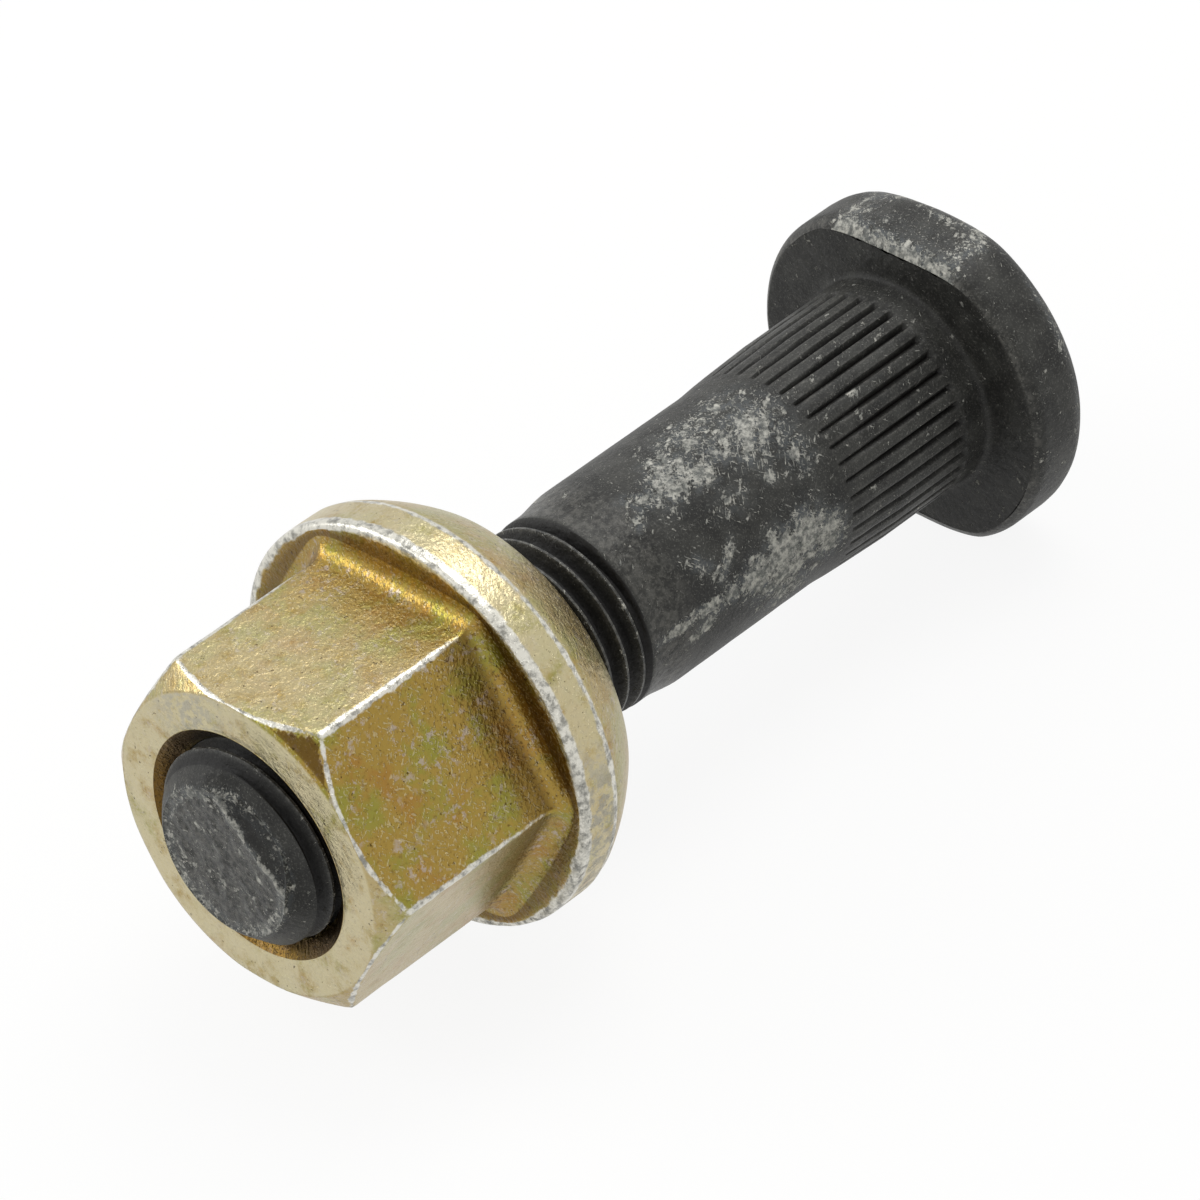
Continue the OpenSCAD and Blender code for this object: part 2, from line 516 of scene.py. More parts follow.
    # Patches on the shank, splines and thread's start, most of them on the side that lay upwards
    scuffs: tuple[Scuff, ...] = (
        Scuff(24.2, 14, 2.4, 1.8, 0.85, 0.4),
        Scuff(22.4, 22, 1.7, 1.2, 0.95),
        Scuff(20.0, 16, 2.4, 1.8, 0.6),
        Scuff(26.8, 17, 1.6, 0.9, 0.8, -0.5),
        Scuff(28.2, 24, 0.9, 0.5, 0.85, 0.6),
        Scuff(16.6, 16, 2.8, 2.6, 0.75),
        Scuff(17.8, 27, 2.2, 1.8, 0.65),
        Scuff(15.4, 40, 1.6, 2.2, 0.55),
        Scuff(18.2, 45, 0.6, 0.5, 0.9),
        Scuff(21.5, 44, 2.6, 1.2, 0.35),
        Scuff(29.6, 84.5, 1.9, 0.4, 1.0, 0.1),
        Scuff(27.0, 83.5, 1.9, 0.45, 1.0, -0.1),
        Scuff(27.4, 92, 1.4, 0.45, 0.9, 0.3),
        Scuff(24.8, 84.5, 1.4, 0.8, 0.9),
        Scuff(24.5, 67, 1.2, 0.6, 0.85, 0.8),
        Scuff(26.5, 60, 1.4, 0.8, 0.55, -0.6),
        Scuff(22.0, 86, 2.0, 1.5, 1.0),
        Scuff(19.6, 84, 2.2, 2.0, 1.0),
        Scuff(17.4, 82, 2.0, 2.2, 1.0),
        Scuff(15.4, 90, 1.6, 2.0, 0.95),
        Scuff(20.0, 97, 2.8, 1.3, 0.85),
        Scuff(19.0, 110, 3.0, 1.4, 0.6),
        Scuff(20.5, 0, 3.2, 2.0, 0.55),
        Scuff(16.5, -4, 2.6, 1.8, 0.5),
        Scuff(24.0, 2, 1.6, 1.0, 0.45),
        Scuff(8.0, 40, 5.0, 5.0, 0.14),
        Scuff(17.0, 250, 4.0, 2.0, 0.7),
        Scuff(24.0, 300, 3.0, 1.5, 0.6),
        Scuff(22.0, 190, 4.0, 1.6, 0.6),
        Scuff(27.0, 150, 2.0, 1.0, 0.7, 0.5),
    )

    def __post_init__(self) -> None:
        """Works out the turn angles: fine ones over the splines and head, and every third for the rest."""
        spacing = 360 / self.groove_count
        turns = [self.groove_turn + (groove + step) * spacing
                 for groove in range(self.groove_count) for step in self.groove_steps]
        self.fine = np.radians(np.array(turns))
        self.coarse = self.fine[::3]
        steps = np.array(self.groove_steps)
        self.groove_share = np.tile(np.minimum(steps, 1 - steps), self.groove_count)

    def dust_at(self, x: np.ndarray | float, radius: np.ndarray | float, turns: np.ndarray) -> np.ndarray:
        """How dusty the coating is at each point, from its patches.

        Args:
            x: Place along the axis.
            radius: Distance from the axis.
            turns: Turn angle of each point, in radians.

        Returns:
            The share of dust, from 0 to 1.
        """
        dust = np.zeros(len(turns))
        for scuff in self.scuffs:
            round_turn = (turns - math.radians(scuff.turn) + math.pi) % FULL_TURN - math.pi
            across = round_turn * radius - scuff.slant * (x - scuff.x)
            distance = ((x - scuff.x) / scuff.length) ** 2 + (across / scuff.width) ** 2
            dust = np.maximum(dust, scuff.strength * np.exp(-distance))
        return dust

    def past_ridge(self, places: np.ndarray) -> np.ndarray:
        """How far each place lies past the ridge that the shear left across the free end."""
        return (places[:, 1] + places[:, 2]) / math.sqrt(2) - self.ridge_distance

    def shear_drop(self, places: np.ndarray) -> np.ndarray:
        """How far the free end falls away past its ridge."""
        return self.shear_depth * np.clip(self.past_ridge(places) / self.shear_length, 0, 1)

    def tip_rows(self, skin: Skin) -> Row:
        """Builds the rough sheared end, from its middle out to its edge.

        Args:
            skin: The surface to add to.

        Returns:
            The edge's row.
        """
        rows = []
        for radius in reversed(self.tip_steps):
            places = around(0.0, radius, self.coarse)
            past = self.past_ridge(places) + self.ridge_waves.at(places)
            ridge = bell(past, self.ridge_width)
            relief = self.tip_lumps.at(places) + self.tip_grain.at(places) + self.ridge_height * ridge
            relief = relief * smooth_step(self.tip_radius - radius, 0.0, self.tip_blend)
            x = np.minimum(self.reach - self.tip_sink + relief - self.shear_drop(places), self.reach)
            # Past the ridge the end falls away and is darkened with painted shade; it gets less dust and wear
            # there
            beyond = smooth_step(past, 0.0, self.shear_shade)
            dust = 0.2 + 0.5 * ridge + 0.3 * (radius > self.tip_rim) - 0.2 * beyond
            rows.append(skin.row(x, radius, self.coarse, cavity=0.45 * beyond, wear=0.55 * (1 - beyond),
                                 dust=dust))
        skin.close(rows[0], self.reach - self.tip_middle_sink, at_start=True)
        skin.join_all(rows)
        fall = self.shear_drop(around(0.0, self.tip_radius, self.coarse))
        edge = skin.row(self.reach - self.tip_edge_sink - fall, self.tip_radius, self.coarse, dust=0.45,
                        wear=0.2)
        skin.join(rows[-1], edge)
        return edge

    def thread_rows(self, skin: Skin) -> tuple[Row, Row]:
        """Builds the thread from the shoulder to the tip, where the chamfer cuts it away.

        Args:
            skin: The surface to add to.

        Returns:
            The rows at the shoulder's end and at the tip's end.
        """
        thread = self.thread
        slope = (thread.radius - self.tip_radius) / self.tip_chamfer
        step_down = self.shoulder_radius - thread.radius
        rows = []
        for x, cut in thread.rows(self.shoulder_end, self.reach, self.coarse):
            outer = thread.radius + step_down * smooth_step(x, self.level_crests, self.shoulder_end)
            begun = smooth_step(x, self.shoulder_end, self.full_thread)
            chamfer = self.tip_radius + (self.reach - x) * slope
            places = around(x, outer, self.coarse)
            nicks = self.crest_nicks.dents(places, self.nick_level) * (cut < self.crest_cut)
            radius = np.minimum(outer - (thread.depth * cut + nicks) * begun, chamfer)
            crest = (cut < self.crest_cut) * smooth_step(x, *self.worn_crests) * (chamfer > radius)
            near_tip = smooth_step(x, self.reach - self.tip_chamfer, self.reach)
            edge = smooth_step(x, self.reach - self.tip_edge_round, self.reach)
            drop = self.shear_drop(places) * near_tip + self.tip_edge_sink * edge
            on_chamfer = chamfer <= radius
            # Painted shade: the thread's roots are darkened by how deep they are cut, and the chamfer away from
            # the tip a little
            cavity = np.where(on_chamfer, 0.3 * (1 - near_tip), cut ** self.groove_shade)
            dusty_edge = 0.35 * smooth_step(x, self.reach - 0.4, self.reach)
            rows.append(skin.row(x - drop, radius, self.coarse, wear=0.5 * crest, cavity=cavity,
                                 dust=0.2 * crest + dusty_edge + 0.05 * on_chamfer))
        skin.join_helix(rows, len(thread.steps))
        return rows[0], rows[-1]

    def neck_radius(self, x: float) -> float:
        """The shank's radius, which grows to the lead's at the foot of the splines."""
        grown = float(smooth_step(x, *self.lead_foot))
        return self.shank_radius + (self.lead_radius - self.shank_radius) * grown

    def shank_rows(self, skin: Skin) -> list[Row]:
        """Builds the shoulder, its taper and the plain shank, from the thread to the splines.

        Args:
            skin: The surface to add to.

        Returns:
            The rows in order.
        """
        places = np.concatenate([
            np.linspace(self.shoulder_end, self.taper_end, 4)[1:],
            np.linspace(self.taper_end, self.shank_end, 6)[1:],
            np.linspace(self.shank_end, self.spline_end + 0.1, self.shank_steps)[1:],
        ])
        rows = []
        for x in places:
            share = smooth_step(x, self.shank_end - 0.6, self.taper_end + 0.1)
            radius = self.neck_radius(x) + (self.shoulder_radius - self.shank_radius) * share
            radius = radius - self.shank_dents.dents(around(x, radius, self.coarse))
            # Painted sheen on the shoulder, laid as wear
            rubbed = 0.4 * float(smooth_step(x, *self.shoulder_sheen))
            dust = self.dust_at(x, radius, self.coarse)
            rows.append(skin.row(x, radius, self.coarse, wear=rubbed, dust=dust))
        return rows

    def spline_rows(self, skin: Skin) -> list[Row]:
        """Builds the splined neck, from its leading end to the seat face.

        Args:
            skin: The surface to add to.

        Returns:
            The rows in order.
        """
        lead_start = self.spline_end - self.lead_length
        steep = self.groove_runout / self.groove_depth
        root = self.spline_radius - self.groove_depth
        spacing = FULL_TURN * self.spline_radius / self.groove_count
        side = self.groove_share * spacing / (self.groove_width / 2)
        floor = root + self.groove_depth * side ** self.groove_curve
        crown = self.crown_height * (1 - smooth_step(self.groove_share, *self.crown_rise))
        land_edge = bell(self.groove_share - self.worn_and_lit_edge, self.worn_and_lit_edge_width)
        rows = []
        for x in self.spline_places:
            narrowing = (self.lead_radius - self.spline_radius) * max(0, x - lead_start) / self.lead_taper
            lead = self.spline_radius + narrowing
            crest = lead + (self.neck_radius(x) - lead) * float(smooth_step(x, *self.lead_blend))
            near = self.spline_radius - max(0, x - self.groove_start) / steep
            far = self.spline_radius - max(0, self.groove_end + self.groove_runout - x) / steep
            cut = np.maximum(floor, max(near, far))
            radius = np.minimum(crest - crown * (x > self.groove_start), cut)
            # Painted shade in the grooves, darker where they are deeper
            shade = np.clip((crest - radius) / self.groove_depth, 0, 1)
            # The lands' edges are rubbed to bare steel, which also paints a highlight along them
            rubbed = 0.45 * land_edge * (self.groove_start < x < self.worn_and_lit_until)
            dust = self.dust_at(x, self.spline_radius, self.fine) * (shade < 0.3)
            rows.append(skin.row(x, radius, self.fine, cavity=shade, wear=rubbed, dust=dust))
        # The fillet into the seat face, darkened with painted shade
        for angle in self.fillet_angles:
            bend = math.radians(angle)
            x = self.neck_fillet * (1 - math.sin(bend))
            radius = self.spline_radius + self.neck_fillet * (1 - math.cos(bend))
            rows.append(skin.row(x, radius, self.fine, cavity=0.25))
        return rows

    def head_section(self, back: float) -> tuple[float, float]:
        """Works out the head's two distances from the axis.

        Args:
            back: Distance behind the seat face.

        Returns:
            The round rim's radius and the flats' reach.
        """
        draw = max(0.0, 1 - back / self.draw_length) ** self.draw_curve
        found = []
        for reach, drawn, rounding in ((self.head_radius, self.rim_draw, self.head_round),
                                       (self.flat_reach, self.flat_draw, self.flat_round)):
            past = max(0.0, back - (self.head_thickness - rounding))
            arc = math.sqrt(max(0.0, rounding ** 2 - past ** 2))
            found.append(reach - drawn * draw - rounding + arc)
        return found[0], found[1]

    def head_outline(self, back: float) -> tuple[np.ndarray, np.ndarray, np.ndarray]:
        """Works out the head's outline round the axis.

        Args:
            back: Distance behind the seat face.

        Returns:
            For each turn angle, the radius, how near a flat's corner it is, and whether it is on a flat.
        """
        rim, flat = self.head_section(back)
        edge = flat / np.maximum(np.abs(np.cos(self.fine)), self.least_cosine)
        radius = soft_min(np.full(len(edge), rim), edge, self.flat_blend)
        return radius, bell(edge - rim, self.flat_corner), edge < rim

    def rim_row(self, skin: Skin, back: float) -> Row:
        """Builds one row of the head's rim, with its torn edge on the upper flat and its dust.

        Args:
            skin: The surface to add to.
            back: Distance behind the seat face.

        Returns:
            The row.
        """
        radius, corner, flat = self.head_outline(back)
        places = around(-back, radius, self.fine)
        chipped = flat & (np.cos(self.fine) > 0)
        radius = (radius - self.seat_edge_depth * bell(back, self.seat_edge_width)
                  - self.torn_edge.dents(places) * chipped * bell(back, self.torn_width)
                  - self.rim_dents.dents(places))
        dusty = chipped * (0.85 * bell(back, 0.85) + 0.22 * bell(back - 2.0, 1.2))
        ring_height = self.dusty_ring.height * bell(back - self.dusty_ring_place, 0.5)
        ring = ring_height * (1 + self.dusty_ring.share(places)) / 2
        dust = np.maximum(np.maximum(dusty, ring), 0.5 * corner * (back > 0.3))
        wear = np.maximum(0.5 * bell(back, 0.42), 0.35 * corner)
        return skin.row(-back, radius, self.fine, wear=wear, dust=dust)

    def head_rows(self, skin: Skin) -> list[Row]:
        """Builds the head from its seat face round the rim to its back.

        Args:
            skin: The surface to add to.

        Returns:
            The rows in order, up to the middle of the back.
        """
        inner = self.spline_radius + self.neck_fillet
        outer, _, _ = self.head_outline(0.0)
        # The seat face under the head, darkened with painted shade
        rows = [skin.row(0.0, inner + (outer - inner) * share, self.fine, cavity=0.3)
                for share in self.seat_shares]
        round_start = self.head_thickness - self.head_round
        backs = [round_start + self.head_round * math.sin(math.radians(angle)) for angle in self.rim_angles]
        rows += [self.rim_row(skin, back) for back in (*self.rim_places, *backs)]
        outer, _, _ = self.head_outline(self.head_thickness)
        for share in self.back_shares:
            dents = self.back_dents.dents(around(0.0, outer * share, self.fine))
            rows.append(skin.row(dents - self.head_thickness, outer * share, self.fine, wear=0.25, dust=0.04))
        return rows

    def build(self) -> bpy.types.Object:
        """Builds the whole stud.

        Returns:
            The stud, as one closed mesh.
        """
        skin = Skin()
        edge = self.tip_rows(skin)
        shoulder, tip = self.thread_rows(skin)
        skin.join(edge, tip)
        rows = [shoulder, *self.shank_rows(skin), *self.spline_rows(skin), *self.head_rows(skin)]
        skin.join_all(rows)
        skin.close(rows[-1], -self.head_thickness, at_start=False)
        return skin.build("wheel_stud")


@dataclass
class CollarNut:
    """The forged nut: bevelled hexagon, flare, round collar, ball seat and threaded bore."""

    thread: Thread = field(default_factory=Thread)
    front: float = 61.8
    height: float = 22.0
    flats: float = 22.0
    sides: int = 6
    points_per_side: int = 48
    # Radius to which the hexagon's corners are worn, and the width of their wear
    corner_round: float = 0.55
    corner_width: float = 0.34
    side_steps: int = 12
    side_dents: Waves = Waves(0.025, 4.5, 61)

    # The front ring and the bevel, with their rows' radii and depths
    face_radius: float = 10.9
    ring_radii: tuple[float, ...] = (8.3, 8.45, 8.7, 9.1, 9.5, 9.9, 10.3, 10.6, 10.8)
    ring_dents: Waves = Waves(0.03, 2.2, 51)
    ring_edge: float = 0.12
    # The ring's bleached patch, in degrees
    bleached_turn: float = 155
    bleached_width: float = 22
    bevel_angle: float = 40.0
    bevel_depths: tuple[float, ...] = (0.07, 0.14, 0.24, 0.36, 0.5, 0.66, 0.84, 1.04, 1.26, 1.5, 1.8)
    bevel_blend: float = 0.3
    bevel_crease: float = 0.26

    # The flare at the sides' foot, and the radius to which its corners are worn
    flare_radius: float = 1.3
    flare_limit: float = 13.75
    flare_blend: float = 0.5
    flare_angles: tuple[int, ...] = (15, 30, 45, 58, 70, 80, 90)

    # The collar: its rows' depths, radii and wear, from the front edge of its rim to the back edge
    collar_radius: float = 14.7
    collar_bevel: float = 0.3
    rim_front: float = 15.0
    rim_back: float = 18.0
    rim_profile: tuple[tuple[float, float, float], ...] = (
        (15.0, 14.35, 0.9), (15.06, 14.5, 1.0), (15.16, 14.62, 1.0), (15.34, 14.69, 1.0), (15.6, 14.7, 0.8),
        (15.9, 14.7, 0.35), (16.4, 14.7, 0.08), (17.1, 14.7, 0.08), (17.6, 14.7, 0.3), (17.88, 14.69, 0.75),
        (18.08, 14.6, 0.8))
    rim_dents: Waves = Waves(0.03, 2.4, 71)
    # The stretch of the rim that is crusted, in degrees: where it begins and where it ends
    crusted_from: tuple[float, float] = (62, 100)
    crusted_until: tuple[float, float] = (200, 150)

    # The ball seat, the back face and the bore
    ball_radius: float = 16.2
    seat_depths: tuple[float, ...] = (18.4, 18.9, 19.4, 20.0, 20.6, 21.2, 21.7, 21.95)
    back_shares: tuple[float, ...] = (0.02, 0.3, 0.6, 0.9, 1.0)
    bore_radius: float = 7.05
    bore_cut: float = 0.8
    bore_fade: float = 0.4
    front_sink: float = 1.25
    back_sink: float = 0.8

    # How much painted light each side has, laid as a paler film, from the one that faces up
    lit_sides: tuple[float, ...] = (0.55, 0.0, 0.5, 0.2, 0.1, 0.3)
    # How much painted shade, in brown, the bevel has at each corner, from the one on the viewer's side of the
    # top
    shaded_corners: tuple[float, ...] = (1.0, 0.1, 0.4, 0.6, 0.3, 0.2)

    def __post_init__(self) -> None:
        """Works out the turn angles, closer together near the hexagon's corners."""
        half = self.points_per_side // 2
        half_side = 180 / self.sides
        steps = np.arange(-half, half) / half
        local = half_side * (0.5 * steps + 0.5 * np.sin(steps * math.pi / 2))
        turns = [side * 2 * half_side + angle for side in range(self.sides) for angle in local]
        self.turns = np.radians(np.array(turns))
        # Half a side's angle, and each point's angle from the nearest corner
        self.half_side = math.radians(half_side)
        self.from_corner = np.radians(half_side - np.abs(np.tile(local, self.sides)))
        # Painted light for each side, and painted shade for each corner of the bevel, at every point
        self.side_lit = np.repeat(self.lit_sides, self.points_per_side)
        self.bevel_shade = np.roll(np.repeat(self.shaded_corners, self.points_per_side), half)

    def hexagon(self, reach: float) -> np.ndarray:
        """Radius of a hexagon with worn corners.

        Args:
            reach: Distance from the axis to a side.

        Returns:
            The radius at each turn angle.
        """
        rounding = self.corner_round
        side = reach / np.cos(self.half_side - self.from_corner)
        centre = (reach - rounding) / math.cos(self.half_side)
        offset = centre * np.sin(self.from_corner)
        arc = centre * np.cos(self.from_corner) + np.sqrt(np.maximum(rounding ** 2 - offset ** 2, 0))
        at_corner = side * np.sin(self.from_corner) < rounding * math.tan(self.half_side)
        return np.where(at_corner & (offset < rounding), np.minimum(side, arc), side)

    def flare(self, out: float) -> np.ndarray:
        """Radius of the flare where it stands out from the sides by a distance."""
        return soft_min(self.hexagon(self.flats / 2 + out), self.flare_limit, self.flare_blend)

    def corner_wear(self, radius: np.ndarray) -> np.ndarray:
        """How worn the hexagon's corner edges are at each point."""
        return bell(radius * np.sin(self.from_corner), self.corner_width)

    def places(self, depth: float, radius: np.ndarray | float) -> np.ndarray:
        """Points of a row, for the uneven waves."""
        return around(self.front - depth, radius, self.turns)

    def ring_rows(self, skin: Skin) -> list[Row]:
        """Builds the countersink and the flat front ring.

        Args:
            skin: The surface to add to.

        Returns:
            The rows in order.
        """
        rows = []
        # The countersink at the front, fully darkened with painted shade
        for share in (0.3, 0.6, 0.85, 0.97):
            x = self.front - self.front_sink * (1 - share)
            rows.append(skin.row(x, self.bore_radius + self.front_sink * share, self.turns, cavity=1.0))
        mouth = self.bore_radius + self.front_sink
        degrees = np.degrees((self.turns + math.pi) % FULL_TURN)
        bleached = 0.12 + 0.6 * bell(degrees - self.bleached_turn, self.bleached_width)
        for radius in self.ring_radii:
            dents = self.ring_dents.dents(self.places(0.0, radius))
            dip = 0.05 * bell(radius - mouth, self.ring_edge) + dents
            dip = dip + 0.02 * (radius == self.ring_radii[-1])
            rows.append(skin.row(self.front - dip, radius, self.turns, dust=bleached, pale=0.9))
        return rows

    def bevel_rows(self, skin: Skin) -> list[Row]:
        """Builds the cone that bevels the hexagon's corners.

        Args:
            skin: The surface to add to.

        Returns:
            The rows in order.
        """
        slope = 1 / math.tan(math.radians(self.bevel_angle))
        side = self.hexagon(self.flats / 2)
        rows = []
        for depth in self.bevel_depths:
            cone = np.full(len(side), self.face_radius + depth * slope)
            radius = soft_min(side, cone, self.bevel_blend)
            crease = 0.85 * bell(cone - side, self.bevel_crease)
            corner = self.corner_wear(radius) * smooth_step(cone - side, -0.3, 0.2)
            wear = np.maximum(np.maximum(crease, corner), 0.3 * bell(depth, self.ring_edge))
            # Painted shade on the bevel at some corners; the other corners are painted light, as a paler film
            shade = self.bevel_shade * (cone < side - 0.25) * smooth_step(depth, 0.05, 0.3)
            pale = np.where(cone < side - 0.1, 0.5 - 0.5 * self.bevel_shade, self.side_lit)
            rows.append(skin.row(self.front - depth, radius, self.turns, wear=wear, cavity=shade, pale=pale))
        return rows

    def side_rows(self, skin: Skin) -> list[Row]:
        """Builds the hexagon's sides and the flare at their foot.

        Args:
            skin: The surface to add to.

        Returns:
            The rows in order.
        """
        side = self.hexagon(self.flats / 2)
        foot = self.rim_front - self.flare_radius
        rows = []
        for depth in np.linspace(2.2, foot, self.side_steps):
            radius = side - self.side_dents.dents(self.places(depth, side))
            wear = (1 - 0.45 * smooth_step(depth, 7.0, foot)) * self.corner_wear(side)
            # Painted shade towards the flare, less on the sides with more painted light, which fades towards
            # the flare
            shade = (0.72 - self.side_lit) * smooth_step(depth, 8.0, 13.5)
            pale = self.side_lit * smooth_step(depth, 17.0, 4.0)
            rows.append(skin.row(self.front - depth, radius, self.turns, wear=wear, cavity=shade, pale=pale))
        for angle in self.flare_angles:
            bend = math.radians(angle)
            depth = self.rim_front - self.flare_radius * (1 - math.sin(bend))
            radius = self.flare(self.flare_radius * (1 - math.cos(bend)))
            # Painted shade in the crease where the flare leaves the side
            shade = (0.9 - self.side_lit) * math.cos(bend) ** 2
            rows.append(skin.row(self.front - depth, radius, self.turns, wear=0.3 * self.corner_wear(radius),
                                 cavity=shade))
        return rows

    def collar_rows(self, skin: Skin) -> list[Row]:
        """Builds the collar's front, which is shaded near the flare, and its rim.

        Args:
            skin: The surface to add to.

        Returns:
            The rows in order.
        """
        foot = self.flare(self.flare_radius)
        inner = self.collar_radius - self.collar_bevel
        rows = []
        # Painted shade on the collar's front face, darkest next to the flare
        for share, shade, wear in ((0.2, 0.85, 0.0), (0.5, 0.85, 0.0), (0.8, 0.65, 0.45)):
            radius = foot + (inner - foot) * share
            rows.append(skin.row(self.front - self.rim_front, radius, self.turns, cavity=shade, wear=wear))
        degrees = np.degrees(self.turns)
        crusted = smooth_step(degrees, *self.crusted_from) * smooth_step(degrees, *self.crusted_until)
        for depth, radius, wear in self.rim_profile:
            dents = self.rim_dents.dents(self.places(depth, radius)) * (depth > 15.1)
            rows.append(skin.row(self.front - depth, radius - dents, self.turns, wear=wear,
                                 dust=0.22 + 0.7 * crusted, pale=0.78))
        return rows

    def seat_rows(self, skin: Skin) -> list[Row]:
        """Builds the ball seat, the back face and its countersink.

        Args:
            skin: The surface to add to.

        Returns:
            The rows in order.
        """
        centre = self.rim_back - math.sqrt(self.ball_radius ** 2 - self.collar_radius ** 2)
        rows = []
        for depth in self.seat_depths:
            radius = math.sqrt(self.ball_radius ** 2 - (depth - centre) ** 2)
            # The ball seat, lightly darkened with painted shade
            rows.append(skin.row(self.front - depth, radius, self.turns, cavity=0.15, dust=0.25, pale=0.35))
        edge = math.sqrt(self.ball_radius ** 2 - (self.height - centre) ** 2)
        mouth = self.bore_radius + self.back_sink
        back = self.front - self.height
        rows += [skin.row(back, edge + (mouth - edge) * share, self.turns, wear=0.2)
                 for share in self.back_shares]
        # The back countersink, darkened with painted shade
        rows += [skin.row(back + self.back_sink * share, mouth - self.back_sink * share, self.turns,
                          cavity=0.5) for share in (0.4, 0.8)]
        return rows

    def bore_rows(self, skin: Skin) -> tuple[Row, Row]:
        """Builds the thread in the bore, cut outwards so that it stays clear of the stud's.

        Args:
            skin: The surface to add to.

        Returns:
            The rows at the bore's back and front ends.
        """
        start = self.front - self.height + self.back_sink
        end = self.front - self.front_sink
        rows = []
        for x, cut in self.thread.rows(start, end, self.turns):
            fade = smooth_step(x, start, start + self.bore_fade) * smooth_step(x, end, end - self.bore_fade)
            radius = self.bore_radius + self.bore_cut * (1 - cut) * fade
            # Painted shade in the bore, darkest in the thread's roots
            rows.append(skin.row(x, radius, self.turns, cavity=0.5 + 0.5 * (1 - cut) * fade))
        skin.join_helix(rows, len(self.thread.steps))
        return rows[0], rows[-1]

    def build(self) -> bpy.types.Object:
        """Builds the whole nut.

        Returns:
            The nut, as one closed mesh.
        """
        skin = Skin()
        back, front = self.bore_rows(skin)
        rows = [front, *self.ring_rows(skin), *self.bevel_rows(skin), *self.side_rows(skin),
                *self.collar_rows(skin), *self.seat_rows(skin), back]
        skin.join_all(rows[::-1])
        return skin.build("collar_nut")


def linear(colour: str) -> tuple[float, float, float, float]:
    """Turns an sRGB hex colour into the linear colour that Blender works in.

    Args:
        colour: Six hex digits after a hash sign.

    Returns:
        Red, green, blue and full alpha.
    """
    shares = [int(colour[place:place + 2], 16) / 255 for place in (1, 3, 5)]
    red, green, blue = (share / 12.92 if share <= 0.04045 else ((share + 0.055) / 1.055) ** 2.4
                        for share in shares)
    return red, green, blue, 1.0


def add(tree: bpy.types.NodeTree, kind: str, links: dict[str | int, object] | None = None,
        **settings: object) -> bpy.types.Node:
    """Adds a node with its settings, and fills its inputs.

    Args:
        tree: The tree to add to.
        kind: Blender's name for the node.
        links: For each input, by name or number, a value or the output that feeds it.
        **settings: Properties of the node.

    Returns:
        The node.
    """
    node = tree.nodes.new(kind)
    for name, value in settings.items():
        setattr(node, name, value)
    for name, value in (links or {}).items():
        if isinstance(value, bpy.types.NodeSocket):
            tree.links.new(value, node.inputs[name])
        else:
            node.inputs[name].default_value = value
    return node


# Settings of the nodes that work two numbers through and keep the result from 0 to 1
TIMES = {"operation": "MULTIPLY", "use_clamp": True}
PLUS = {"operation": "ADD", "use_clamp": True}
MINUS = {"operation": "SUBTRACT", "use_clamp": True}
MOST = {"operation": "MAXIMUM", "use_clamp": True}
# Settings of the nodes that rise smoothly from 0 to 1 over a range
SMOOTH = {"interpolation_type": "SMOOTHSTEP"}


@dataclass(frozen=True)
class Grain:
    """A pattern in a finish, by its real size.

    The length of its grains is in millimetres, or three lengths along turned axes. Detail and roughness say
    how ragged it is. It begins to show at its low level and shows in full at its high one.
    """

    length: float | tuple[float, float, float]
    detail: float
    rough: float = 0.55
    low: float = 0.0
    high: float = 1.0
    turn: tuple[float, float, float] = (0.0, 0.0, 0.0)


